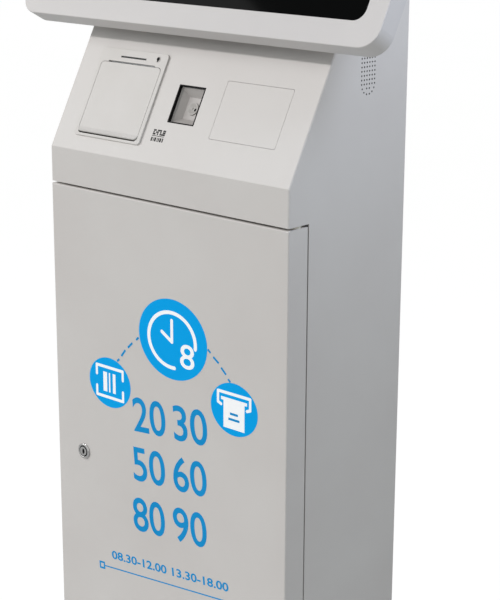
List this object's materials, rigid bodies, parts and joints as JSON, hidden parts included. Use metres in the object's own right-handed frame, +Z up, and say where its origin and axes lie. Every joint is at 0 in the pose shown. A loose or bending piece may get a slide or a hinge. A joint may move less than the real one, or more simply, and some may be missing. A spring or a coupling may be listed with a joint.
{
  "type": "queue ticket kiosk",
  "caption": "Floor-standing self-service queue ticket kiosk: sheet-metal cabinet with a lockable door, sloped console with ticket printer and code scanner, and a touch monitor above.",
  "frame": {"origin": "on the floor, at the centre of the cabinet's footprint", "axes": "+Z up, -Y towards the user, +X to the user's right"},
  "size_m": [0.579, 0.2348, 1.3964],
  "materials": {
    "powder_coat": "fine textured powder coat, warm light grey",
    "zinc_steel": "zinc plated sheet",
    "bright_steel": "turned steel",
    "chrome_plate": "chrome plated",
    "aluminium": "anodised",
    "printer_white": "moulded ABS, warm light grey",
    "black_plastic": "moulded, fine texture",
    "grey_plastic": "moulded, satin",
    "nylon": "moulded nylon",
    "light_guide": "smoked acrylic",
    "screen_glass": "black printed cover glass, polished",
    "roller_rubber": "ground rubber",
    "ticket_paper": "thermal paper",
    "circuit_board": "solder resist over glass fibre",
    "speaker_cone": "pressed paper cone",
    "brass_pin": "plated contact"
  },
  "bodies": {
    "cabinet": {"cabinet_shell": "powder_coat", "base_tray": "zinc_steel", "rear_panel": "powder_coat", "rear_panel_screws": "bright_steel", "equipment_shelf": "zinc_steel", "computer_case": "black_plastic", "computer_heatsink": "aluminium", "power_supply": "aluminium", "power_inlet": "black_plastic", "inlet_pins": "brass_pin", "fan_frame": "black_plastic", "speaker_housing_left": "black_plastic", "speaker_cone_left": "speaker_cone", "speaker_housing_right": "black_plastic", "speaker_cone_right": "speaker_cone", "door_hinge_pins": "bright_steel", "printer_faceplate": "printer_white", "lid_hinge_pin": "bright_steel", "printer_chassis": "black_plastic", "feed_motor": "bright_steel", "thermal_head": "aluminium", "head_bracket": "zinc_steel", "cutter_housing": "zinc_steel", "paper_spindle": "nylon", "status_light": "light_guide", "feed_switch": "black_plastic", "scanner_frame": "black_plastic", "scanner_funnel": "grey_plastic", "scanner_module": "black_plastic", "scanner_lens": "grey_plastic", "blank_plate": "powder_coat", "blank_plate_straps": "zinc_steel", "monitor_front_shell": "powder_coat", "touch_glass": "screen_glass", "lcd_panel": "zinc_steel", "lcd_rails": "zinc_steel", "driver_board": "circuit_board", "monitor_rear_cover": "powder_coat", "monitor_collar": "powder_coat", "collar_screws": "bright_steel"},
    "door": {"front_door": "powder_coat", "door_stiffeners": "zinc_steel", "door_hinge_bushes": "nylon", "lock_housing": "chrome_plate", "lock_nut": "bright_steel"},
    "lock": {"lock_plug": "chrome_plate", "lock_cam": "zinc_steel", "lock_cam_screw": "bright_steel"},
    "lid": {"printer_lid": "printer_white"},
    "platen": {"platen_roller": "roller_rubber", "platen_shaft": "bright_steel", "platen_gear": "nylon"},
    "idler": {"idler_gear": "nylon"},
    "pinion": {"motor_pinion": "brass_pin"},
    "cutter": {"cutter_blade": "bright_steel"},
    "paper": {"paper_roll": "ticket_paper"},
    "button": {"feed_button": "printer_white"},
    "fan": {"fan_rotor": "black_plastic"},
    "rocker": {"power_rocker": "black_plastic"}
  },
  "joints": [
    {"name": "door_swing", "type": "hinge", "parent": "cabinet", "child": "door", "pos_m": [0.191, -0.086, 0.46], "axis": [0, 0, 1], "range_deg": [0, 105]},
    {"name": "lock_turn", "type": "hinge", "parent": "door", "child": "lock", "pos_m": [-0.15, -0.095, 0.5055], "axis": [0, 1, 0], "range_deg": [0, 90]},
    {"name": "lid_open", "type": "hinge", "parent": "cabinet", "child": "lid", "pos_m": [-0.1065, -0.09322, 0.93105], "axis": [1, 0, 0], "range_deg": [0, 75]},
    {"name": "platen_spin", "type": "hinge", "parent": "lid", "child": "platen", "pos_m": [-0.108, -0.04625, 0.99779], "axis": [1, 0, 0], "continuous": true},
    {"name": "idler_spin", "type": "hinge", "parent": "cabinet", "child": "idler", "pos_m": [-0.061, -0.03284, 0.99064], "axis": [1, 0, 0], "continuous": true},
    {"name": "pinion_spin", "type": "hinge", "parent": "cabinet", "child": "pinion", "pos_m": [-0.061, -0.02031, 0.98395], "axis": [1, 0, 0], "continuous": true},
    {"name": "cutter_slide", "type": "slide", "parent": "cabinet", "child": "cutter", "axis": [0, -0.471, -0.8821], "range_m": [0, 0.004]},
    {"name": "paper_spin", "type": "hinge", "parent": "cabinet", "child": "paper", "pos_m": [-0.108, -0.0411, 0.9395], "axis": [1, 0, 0], "continuous": true},
    {"name": "feed_press", "type": "slide", "parent": "cabinet", "child": "button", "axis": [0, 0.8821, -0.471], "range_m": [0, 0.0008], "stiffness_N_per_m": 500, "springref_m": -0.0008},
    {"name": "fan_spin", "type": "hinge", "parent": "cabinet", "child": "fan", "pos_m": [0, 0.092, 1.15998], "axis": [0, 1, 0], "continuous": true},
    {"name": "rocker_tip", "type": "hinge", "parent": "cabinet", "child": "rocker", "pos_m": [0.1335, 0.1035, 0.11], "axis": [1, 0, 0], "range_deg": [0, 14]}
  ],
  "couplings": [
    {"joint": "idler_spin", "follows": "platen_spin", "ratio": -0.66667},
    {"joint": "pinion_spin", "follows": "platen_spin", "ratio": 1.2}
  ]
}
